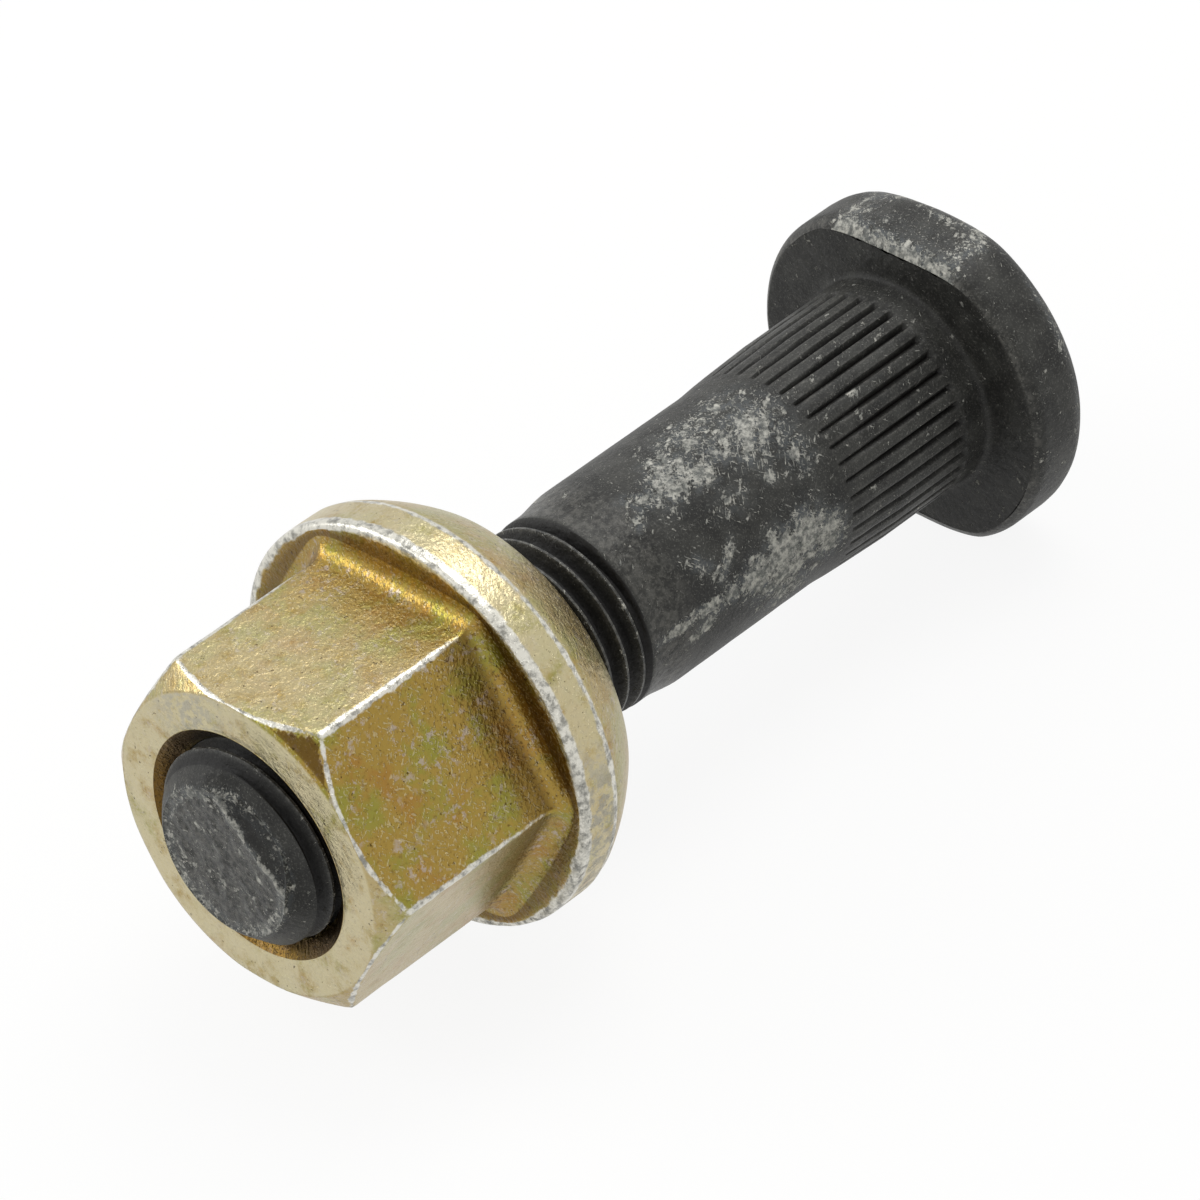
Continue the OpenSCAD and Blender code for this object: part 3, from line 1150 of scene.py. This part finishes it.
@dataclass
class Finish:
    """What the finishes share: a place in millimetres, the mesh's masks, and ways to pattern and layer."""

    name: str

    def start(self) -> None:
        """Makes the material, and nodes for the place in millimetres and the masks."""
        self.material = bpy.data.materials.new(self.name)
        self.material.use_nodes = True
        self.tree = self.material.node_tree
        self.tree.nodes.clear()
        place = add(self.tree, "ShaderNodeTexCoord").outputs["Object"]
        self.place = add(self.tree, "ShaderNodeVectorMath", {0: place, "Scale": 1 / MM},
                         operation="SCALE").outputs[0]
        self.masks = {mask: add(self.tree, "ShaderNodeAttribute", attribute_name=mask.value).outputs["Fac"]
                      for mask in Mask}
        self.noises = 0

    def noise(self, grain: Grain) -> bpy.types.NodeSocket:
        """Draws a pattern at its real size, each from a place of its own in the noise.

        Args:
            grain: The pattern.

        Returns:
            The noise, from 0 to 1.
        """
        self.noises += 1
        lengths = grain.length if isinstance(grain.length, tuple) else (grain.length,) * 3
        shift = (self.noises * PATTERN_SHIFT, 0, 0)
        place = add(self.tree, "ShaderNodeMapping", {
            "Vector": self.place, "Location": shift, "Rotation": grain.turn, "Scale": lengths,
        }, vector_type="TEXTURE").outputs[0]
        return add(self.tree, "ShaderNodeTexNoise", {
            "Vector": place, "Scale": 1.0, "Detail": grain.detail, "Roughness": grain.rough,
        }).outputs["Fac"]

    def shown(self, grain: Grain, lift: bpy.types.NodeSocket | None = None) -> bpy.types.NodeSocket:
        """Draws where a pattern shows.

        Args:
            grain: The pattern.
            lift: What is added to its noise, so that more of it shows.

        Returns:
            How far it shows, from 0 to 1.
        """
        noise = self.noise(grain)
        if lift is not None:
            noise = add(self.tree, "ShaderNodeMath", {0: noise, 1: lift}, **PLUS).outputs[0]
        return add(self.tree, "ShaderNodeMapRange", {
            "Value": noise, "From Min": grain.low, "From Max": grain.high,
        }, **SMOOTH).outputs[0]

    def lay(self, below: object, above: object, *shares: object) -> bpy.types.NodeSocket:
        """Lays one colour over another.

        Args:
            below: The colour below, as a hex colour or an output.
            above: The colour above, as a hex colour or an output.
            *shares: How much of it shows, as numbers or outputs that are multiplied.

        Returns:
            The layered colour.
        """
        below, above = (linear(part) if isinstance(part, str) else part for part in (below, above))
        share = shares[0]
        for other in shares[1:]:
            share = add(self.tree, "ShaderNodeMath", {0: share, 1: other}, **TIMES).outputs[0]
        return add(self.tree, "ShaderNodeMix", {"Factor": share, 6: below, 7: above},
                   data_type="RGBA").outputs[2]

    def relief(self, layers: tuple[tuple[object, object, float], ...]) -> bpy.types.NodeSocket:
        """Lays fine reliefs over each other.

        Args:
            layers: For each relief, its height as an output, its strength and its depth in millimetres.

        Returns:
            The direction that the surface faces in.
        """
        normal = None
        for height, strength, depth in layers:
            links = {"Height": height, "Strength": strength, "Distance": depth * MM}
            if normal is not None:
                links["Normal"] = normal
            normal = add(self.tree, "ShaderNodeBump", links).outputs[0]
        return normal

    def finish(self, shader: bpy.types.Node) -> bpy.types.Material:
        """Feeds the shader to the material's output."""
        add(self.tree, "ShaderNodeOutputMaterial", {"Surface": shader.outputs[0]})
        return self.material


@dataclass
class PhosphatedSteel(Finish):
    """Forged steel with a black manganese phosphate coat.

    The coat is a layer of fine crystals, which looks matt and charcoal, not glossy. It rubs through to grey
    steel on edges, and holds pale dust where it is chipped.
    """

    name: str = "black_phosphate_on_forged_steel"
    coat_light: str = "#3A3A37"
    coat_dark: str = "#21211F"
    shade_black: str = "#0E0D0C"
    bare_steel: str = "#8A8882"
    dust_veil: str = "#62676A"
    dust_grey: str = "#6A6C69"
    pale_dust_and_sparkle: str = "#CFCDC4"

    # The coat's tone varies over a few millimetres. Its crystals are finer than this, and drawn coarse enough
    # to show; they bump the surface and carry pale specks of painted sparkle.
    crystals: Grain = Grain(0.14, 2, low=0.5, high=0.78)
    tone: Grain = Grain(2.2, 6, 0.62, 0.34, 0.68)
    veil: Grain = Grain(0.8, 7, 0.7, 0.38, 0.6)
    rub: Grain = Grain(0.45, 5, 0.6, 0.4, 0.66)
    crowd: Grain = Grain(3.2, 3)
    chalk: Grain = Grain(0.45, 7, 0.74, 0.38, 0.66)
    pitting: Grain = Grain(0.7, 7, 0.62)
    # Patches, chips, and scratches that lie in two crossing directions
    marks: tuple[Grain, ...] = (
        Grain((1.2, 0.7, 0.7), 6, 0.64, 0.7, 0.74, (0.4, 0.3, 0.6)),
        Grain(0.4, 4, 0.6, 0.77, 0.81),
        Grain((0.9, 0.13, 0.13), 2, 0.5, 0.76, 0.8, FIRST_WAY),
        Grain((0.7, 0.13, 0.13), 2, 0.5, 0.76, 0.8, SECOND_WAY),
    )
    # How far dust and drift bring more marks above their level
    dust_lift: float = 0.25
    drift_lift: float = 0.12
    rough_coat: float = 0.5
    rough_chips: float = 0.8
    # A porous coat mirrors less than a closed one
    shine: float = 0.25

    def chips(self) -> bpy.types.NodeSocket:
        """Draws crisp chips and rubs in the coat, from a tenth of a millimetre up to patches.

        Returns:
            Where they are, from 0 to 1.
        """
        dusty = add(self.tree, "ShaderNodeMath", {0: self.masks[Mask.DUST], 1: self.dust_lift}, **TIMES)
        drift = add(self.tree, "ShaderNodeMath", {0: self.noise(self.crowd), 1: self.drift_lift}, **TIMES)
        lift = add(self.tree, "ShaderNodeMath", {0: dusty.outputs[0], 1: drift.outputs[0]}, **PLUS)
        chips = 0.0
        for mark in self.marks:
            chips = add(self.tree, "ShaderNodeMath", {0: chips, 1: self.shown(mark, lift.outputs[0])},
                        **MOST).outputs[0]
        return chips

    def build(self) -> bpy.types.Material:
        """Makes the material.

        Returns:
            The material.
        """
        self.start()
        tree = self.tree
        dust, wear = self.masks[Mask.DUST], self.masks[Mask.WEAR]
        crystals = self.noise(self.crystals)
        sparkle = add(tree, "ShaderNodeMapRange", {
            "Value": crystals, "From Min": self.crystals.low, "From Max": self.crystals.high,
        }, **SMOOTH).outputs[0]
        dusty = add(tree, "ShaderNodeMapRange", {"Value": dust, "From Min": 0.02, "From Max": 0.8},
                    **SMOOTH).outputs[0]
        colour = self.lay(self.coat_dark, self.coat_light, self.shown(self.tone))
        # Pale specks on the crystals: painted sparkle
        colour = self.lay(colour, self.pale_dust_and_sparkle, sparkle, 0.12)
        colour = self.lay(colour, self.dust_veil, dusty, self.shown(self.veil), 0.85)
        # Wear rubs through to bare steel; on the shoulder this layer is a painted sheen, and on the lands'
        # edges a painted highlight too
        worn = add(tree, "ShaderNodeMath", {0: wear, 1: self.shown(self.rub)}, **TIMES).outputs[0]
        colour = self.lay(colour, self.bare_steel, worn, 0.65)
        chips = self.chips()
        chalk = self.lay(self.dust_grey, self.pale_dust_and_sparkle, self.shown(self.chalk))
        colour = self.lay(colour, chalk, chips, 0.85)
        # Painted shade: near black in grooves, thread roots and recesses
        colour = self.lay(colour, self.shade_black, self.masks[Mask.CAVITY])
        pitting = self.noise(self.pitting)
        normal = self.relief(((crystals, 0.35, 0.03), (pitting, 0.7, 0.16), (chips, 0.9, 0.06)))
        rough = add(tree, "ShaderNodeMapRange", {
            "Value": chips, "To Min": self.rough_coat, "To Max": self.rough_chips,
        }).outputs[0]
        rubbed = add(tree, "ShaderNodeMath", {0: wear, 1: 0.3}, **TIMES).outputs[0]
        return self.finish(add(tree, "ShaderNodeBsdfPrincipled", {
            "Base Color": colour,
            "Metallic": add(tree, "ShaderNodeMath", {0: worn, 1: 0.5}, **TIMES).outputs[0],
            "Roughness": add(tree, "ShaderNodeMath", {0: rough, 1: rubbed}, **MINUS).outputs[0],
            "Specular IOR Level": self.shine, "Normal": normal,
        }))


@dataclass
class YellowZinc(Finish):
    """Forged steel with yellow passivated zinc.

    The film over the zinc is thin enough to drift between gold, green, orange and lilac. It wears to silver
    zinc on edges, and turns pale and crusted where it was wet. Its paler sides and bevels are painted light,
    and its hollows and recesses are painted shade in dark brown.
    """

    name: str = "yellow_passivated_zinc_on_forged_steel"
    film_gold: str = "#9C8241"
    pale_and_glint_colour: str = "#C7BD9B"
    tint_green: str = "#87883C"
    tint_orange: str = "#9A6E36"
    tint_lilac: str = "#AEA29D"
    bare_silver: str = "#DBD9D0"
    scuffed_grey: str = "#888884"
    dirt_and_shade_brown: str = "#5E4722"
    pit_brown: str = "#3F2F1B"
    corrosion: str = "#B3B0A5"

    # The forged skin under the film has a grain of about a quarter of a millimetre; its glints are painted as
    # pale streaks, and also bump the surface
    grain: Grain = Grain(0.3, 5, 0.66, 0.46, 0.32)
    glints: tuple[Grain, ...] = (
        Grain((0.45, 0.16, 0.16), 2, 0.5, 0.61, 0.67, FIRST_WAY),
        Grain((0.45, 0.16, 0.16), 2, 0.5, 0.61, 0.67, SECOND_WAY),
    )
    # The film's thickness drifts over the sides, and tints it
    green: Grain = Grain(4.0, 6, 0.65, 0.46, 0.62)
    orange: Grain = Grain(4.5, 6, 0.65, 0.53, 0.66)
    lilac: Grain = Grain(0.55, 5, 0.66, 0.54, 0.62)
    lilac_drift: Grain = Grain(2.6, 3, low=0.42, high=0.58)
    bleach: Grain = Grain(1.6, 7, 0.7, 0.24, 0.54)
    pits: Grain = Grain(0.4, 5, 0.64, 0.65, 0.68)
    crust: Grain = Grain(0.8, 7, 0.7, 0.44, 0.56)
    # Worn edges: their width wanders, and grey scuffs run along them
    edge_ragged: Grain = Grain(0.9, 6, 0.62)
    edge_drift: Grain = Grain(3.0, 3)
    edge_level: tuple[float, float] = (0.66, 0.8)
    scuffs: Grain = Grain(0.7, 6, 0.7, 0.36, 0.56)
    forged_skin: Grain = Grain((0.42, 0.24, 0.24), 3, 0.5, turn=FIRST_WAY)
    forged_waves: Grain = Grain(1.4, 6, 0.6)
    rough_film: float = 0.29

    def film(self) -> bpy.types.NodeSocket:
        """Draws the passivated film.

        Returns:
            Its colour.
        """
        colour = self.lay(self.film_gold, self.tint_green, self.shown(self.green), 0.75)
        colour = self.lay(colour, self.tint_orange, self.shown(self.orange), 0.6)
        colour = self.lay(colour, self.tint_lilac, self.shown(self.lilac), self.shown(self.lilac_drift), 0.65)
        # Pale film, which on the nut's sides and bevels is painted light
        return self.lay(colour, self.pale_and_glint_colour, self.masks[Mask.PALE], self.shown(self.bleach))

    def build(self) -> bpy.types.Material:
        """Makes the material.

        Returns:
            The material.
        """
        self.start()
        tree = self.tree
        painted_shading, dust, wear = (self.masks[mask] for mask in (Mask.CAVITY, Mask.DUST, Mask.WEAR))
        low_grain = self.shown(self.grain)
        glints = 0.0
        for glint in self.glints:
            glints = add(tree, "ShaderNodeMath", {0: glints, 1: self.shown(glint)}, **MOST).outputs[0]
        # Painted glints: pale streaks laid over the film
        colour = self.lay(self.film(), self.pale_and_glint_colour, glints, 0.45)
        # Dark brown lies in the grain: grime everywhere, with painted shade added in hollows and recesses, and
        # less of it on pale film and painted light
        pale_and_lit_share = add(tree, "ShaderNodeMath", {0: self.masks[Mask.PALE], 1: 0.3}, **TIMES).outputs[0]
        shade_plus_dirt = add(tree, "ShaderNodeMath", {0: 0.42, 1: painted_shading}, **PLUS).outputs[0]
        dirt_and_shade_share = add(tree, "ShaderNodeMath", {0: shade_plus_dirt, 1: pale_and_lit_share}, **MINUS).outputs[0]
        colour = self.lay(colour, self.dirt_and_shade_brown, low_grain, dirt_and_shade_share)
        # Painted shade: dark brown deep in hollows and recesses
        deep_shade = add(tree, "ShaderNodeMapRange", {"Value": painted_shading, "From Min": 0.4, "From Max": 1.0},
                   **SMOOTH).outputs[0]
        colour = self.lay(colour, self.dirt_and_shade_brown, deep_shade, 0.9)
        more_pits = add(tree, "ShaderNodeMath", {0: painted_shading, 1: 0.03}, **TIMES).outputs[0]
        colour = self.lay(colour, self.pit_brown, self.shown(self.pits, more_pits), 0.85)
        dusty = add(tree, "ShaderNodeMapRange", {"Value": dust, "From Min": 0.1, "From Max": 0.9},
                    **SMOOTH).outputs[0]
        crust = add(tree, "ShaderNodeMath", {0: dusty, 1: self.shown(self.crust)}, **TIMES).outputs[0]
        colour = self.lay(colour, self.corrosion, crust, 0.75)
        # An edge shows silver where its wear and two patterns together come above a level
        level = add(tree, "ShaderNodeMath", {0: wear, 1: 0.5}, **TIMES).outputs[0]
        wander = add(tree, "ShaderNodeMath", {0: self.noise(self.edge_ragged), 1: 0.5}, **TIMES).outputs[0]
        drift = add(tree, "ShaderNodeMath", {0: self.noise(self.edge_drift), 1: 0.4}, **TIMES).outputs[0]
        ragged = add(tree, "ShaderNodeMath", {0: wander, 1: drift}, **PLUS).outputs[0]
        level = add(tree, "ShaderNodeMath", {0: level, 1: ragged}, **PLUS).outputs[0]
        bare = add(tree, "ShaderNodeMapRange", {
            "Value": level, "From Min": self.edge_level[0], "From Max": self.edge_level[1],
        }, **SMOOTH).outputs[0]
        rubbed = add(tree, "ShaderNodeMapRange", {"Value": wear, "From Min": 0.04, "From Max": 0.3},
                     **SMOOTH).outputs[0]
        worn = add(tree, "ShaderNodeMath", {0: bare, 1: rubbed}, **TIMES).outputs[0]
        silver = self.lay(self.scuffed_grey, self.bare_silver, self.shown(self.scuffs))
        colour = self.lay(colour, silver, worn, 0.92)
        # Worn edges are rubbed smooth, and the rest keeps the forging's grain
        skin = self.noise(self.forged_skin)
        smoothed = add(tree, "ShaderNodeMath", {0: worn, 1: 0.7}, **TIMES).outputs[0]
        unworn = add(tree, "ShaderNodeMath", {0: 1.0, 1: smoothed}, **MINUS).outputs[0]
        waves = self.noise(self.forged_waves)
        normal = self.relief(((skin, unworn, 0.055), (waves, 0.7, 0.15), (glints, 0.8, 0.03)))
        rough_crust = add(tree, "ShaderNodeMath", {0: crust, 1: 0.35}, **TIMES).outputs[0]
        dull_crust = add(tree, "ShaderNodeMath", {0: crust, 1: 0.6}, **TIMES).outputs[0]
        return self.finish(add(tree, "ShaderNodeBsdfPrincipled", {
            "Base Color": colour, "Normal": normal,
            "Roughness": add(tree, "ShaderNodeMath", {0: rough_crust, 1: self.rough_film}, **PLUS).outputs[0],
            "Metallic": add(tree, "ShaderNodeMath", {0: 1.0, 1: dull_crust}, **MINUS).outputs[0],
        }))


@dataclass(frozen=True)
class Lamp:
    """A soft square lamp: its name, where it hangs in metres, and its power in watts."""

    name: str
    place: tuple[float, float, float]
    power: float


@dataclass
class Studio:
    """The pale floor, the soft lamps and the camera at the photograph's viewing angle."""

    # Where the camera looks, in millimetres, and how it stands round that point, in degrees and millimetres
    aim: tuple[float, float, float] = (29.6, 0.23, -0.19)
    azimuth: float = 45.6
    elevation: float = 37.2
    roll: float = -4.87
    distance: float = 532.0
    lens: float = 248.0
    clip_start: float = 0.01
    # The part lies on the back of the head's lower flat and on the collar's rim, as x and z in millimetres
    head_rest: tuple[float, float] = (-4.5, -11.3)
    collar_rest: tuple[float, float] = (43.8, -14.7)
    # The floor's side in metres, its paper as the part and the camera see it, and how much of it glows white
    floor_side: float = 3.0
    paper_dim: str = "#E0E0DE"
    paper_bright: str = "#F4F4F2"
    floor_white: float = 0.9
    # The sky's colour, its strength from the horizon to overhead, and its share away from and towards a side
    sky_colour: str = "#FAFAF8"
    sky_levels: tuple[float, float] = (0.45, 0.75)
    sky_heights: tuple[float, float] = (-0.05, 0.8)
    dark_side: tuple[float, float, float] = (0.7, 0.71, 0.1)
    dark_range: tuple[float, float] = (-0.4, 0.9)
    dark_shares: tuple[float, float] = (1.1, 0.6)
    lamp_side: float = 0.35
    lamp_aim: tuple[float, float, float] = (0.03, 0.0, 0.0)
    lamps: tuple[Lamp, ...] = (
        Lamp("key_lamp", (-0.15, -0.05, 0.55), 1.45),
        Lamp("side_lamp", (0.35, -0.45, 0.3), 1.4),
    )

    @staticmethod
    def background_rays(tree: bpy.types.NodeTree) -> bpy.types.NodeSocket:
        """Picks the rays that see the plain white background: the camera's, and those of metal and glass.

        Args:
            tree: The tree to add to.

        Returns:
            1 for such a ray, and 0 for the light that falls on the part.
        """
        path = add(tree, "ShaderNodeLightPath").outputs
        picked = path["Is Camera Ray"]
        for other in ("Is Glossy Ray", "Is Transmission Ray"):
            picked = add(tree, "ShaderNodeMath", {0: picked, 1: path[other]}, operation="MAXIMUM").outputs[0]
        return picked

    def floor(self) -> None:
        """Lays the floor: white in view with a faint shadow, and grey paper as light for the part."""
        run = self.collar_rest[0] - self.head_rest[0]
        fall = self.collar_rest[1] - self.head_rest[1]
        bpy.ops.mesh.primitive_plane_add(size=self.floor_side)
        plane = bpy.context.object
        plane.name = "floor"
        plane.rotation_euler = (0, math.atan2(-fall, run), 0)
        plane.location = (self.collar_rest[0] * MM, 0, self.collar_rest[1] * MM)
        material = bpy.data.materials.new("white_paper")
        material.use_nodes = True
        tree = material.node_tree
        tree.nodes.clear()
        seen = self.background_rays(tree)
        tone = add(tree, "ShaderNodeMix", {
            "Factor": seen, 6: linear(self.paper_dim), 7: linear(self.paper_bright),
        }, data_type="RGBA")
        paper = add(tree, "ShaderNodeBsdfDiffuse", {"Color": tone.outputs[2]})
        white = add(tree, "ShaderNodeEmission", {"Color": (1, 1, 1, 1), "Strength": 1.0})
        share = add(tree, "ShaderNodeMath", {0: seen, 1: self.floor_white}, operation="MULTIPLY")
        mixed = add(tree, "ShaderNodeMixShader", {
            0: share.outputs[0], 1: paper.outputs[0], 2: white.outputs[0],
        })
        add(tree, "ShaderNodeOutputMaterial", {"Surface": mixed.outputs[0]})
        plane.data.materials.append(material)
        plane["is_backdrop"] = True

    def sky(self) -> None:
        """Lights the part from all round, darker towards the horizon and one side, and is white in view."""
        world = bpy.data.worlds.new("studio")
        bpy.context.scene.world = world
        world.use_nodes = True
        tree = world.node_tree
        tree.nodes.clear()
        direction = add(tree, "ShaderNodeTexCoord").outputs["Generated"]
        height = add(tree, "ShaderNodeSeparateXYZ", {0: direction}).outputs["Z"]
        level = add(tree, "ShaderNodeMapRange", {
            "Value": height, "From Min": self.sky_heights[0], "From Max": self.sky_heights[1],
            "To Min": self.sky_levels[0], "To Max": self.sky_levels[1],
        })
        side = add(tree, "ShaderNodeVectorMath", {0: direction, 1: self.dark_side}, operation="DOT_PRODUCT")
        fall = add(tree, "ShaderNodeMapRange", {
            "Value": side.outputs["Value"], "From Min": self.dark_range[0], "From Max": self.dark_range[1],
            "To Min": self.dark_shares[0], "To Max": self.dark_shares[1],
        })
        strength = add(tree, "ShaderNodeMath", {0: level.outputs[0], 1: fall.outputs[0]},
                       operation="MULTIPLY")
        dome = add(tree, "ShaderNodeBackground", {
            "Color": linear(self.sky_colour), "Strength": strength.outputs[0],
        })
        white = add(tree, "ShaderNodeBackground", {"Color": (1, 1, 1, 1), "Strength": 1.0})
        mixed = add(tree, "ShaderNodeMixShader", {
            0: self.background_rays(tree), 1: dome.outputs[0], 2: white.outputs[0],
        })
        add(tree, "ShaderNodeOutputWorld", {"Surface": mixed.outputs[0]})

    def hang(self, lamp: Lamp) -> None:
        """Hangs a lamp that faces the middle of the part.

        Args:
            lamp: The lamp.
        """
        data = bpy.data.lights.new(lamp.name, "AREA")
        data.size = self.lamp_side
        data.energy = lamp.power
        hung = bpy.data.objects.new(lamp.name, data)
        hung.location = lamp.place
        aim = Vector(self.lamp_aim) - Vector(lamp.place)
        hung.rotation_euler = aim.to_track_quat("-Z", "Y").to_euler()
        bpy.context.scene.collection.objects.link(hung)

    def camera(self) -> None:
        """Sets the camera where the photograph was taken from."""
        data = bpy.data.cameras.new("camera")
        data.lens = self.lens
        data.clip_start = self.clip_start
        camera = bpy.data.objects.new("camera", data)
        azimuth, elevation = math.radians(self.azimuth), math.radians(self.elevation)
        level = math.cos(elevation)
        back = Vector((math.cos(azimuth) * level, math.sin(azimuth) * level, math.sin(elevation)))
        place = (Vector(self.aim) + back * self.distance) * MM
        upright = back.to_track_quat("Z", "Y").to_matrix().to_4x4()
        roll = Matrix.Rotation(math.radians(self.roll), 4, "Z")
        camera.matrix_world = Matrix.Translation(place) @ upright @ roll
        bpy.context.scene.collection.objects.link(camera)
        bpy.context.scene.camera = camera

    def build(self) -> None:
        """Sets up the whole studio."""
        bpy.context.scene.view_settings.view_transform = "Standard"
        self.floor()
        self.sky()
        for lamp in self.lamps:
            self.hang(lamp)
        self.camera()


def corners() -> list[list[float]]:
    """The lowest and highest corner of what is shown, as plain lists."""
    return [list(corner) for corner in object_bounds()]


def main() -> None:
    """Loads the frame, builds and dresses each piece in order, and sets up the studio."""
    logging.basicConfig(level=logging.INFO, format="%(name)s: %(message)s")
    for item in list(bpy.data.objects):
        bpy.data.objects.remove(item)
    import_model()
    pieces = (
        (StudBody().build(), Body.STUD, "stud", "stud_steel", PhosphatedSteel()),
        (CollarNut().build(), Body.NUT, "wheel_nut", "nut_zinc", YellowZinc()),
    )
    for piece, body, node, slot, finish in pieces:
        piece.data.materials.append(finish.build())
        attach(piece, body.value)
        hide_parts(node)
        LOG.info("%s: %d faces", piece.name, len(piece.data.polygons))
    Studio().build()


if __name__ == "__main__":
    main()
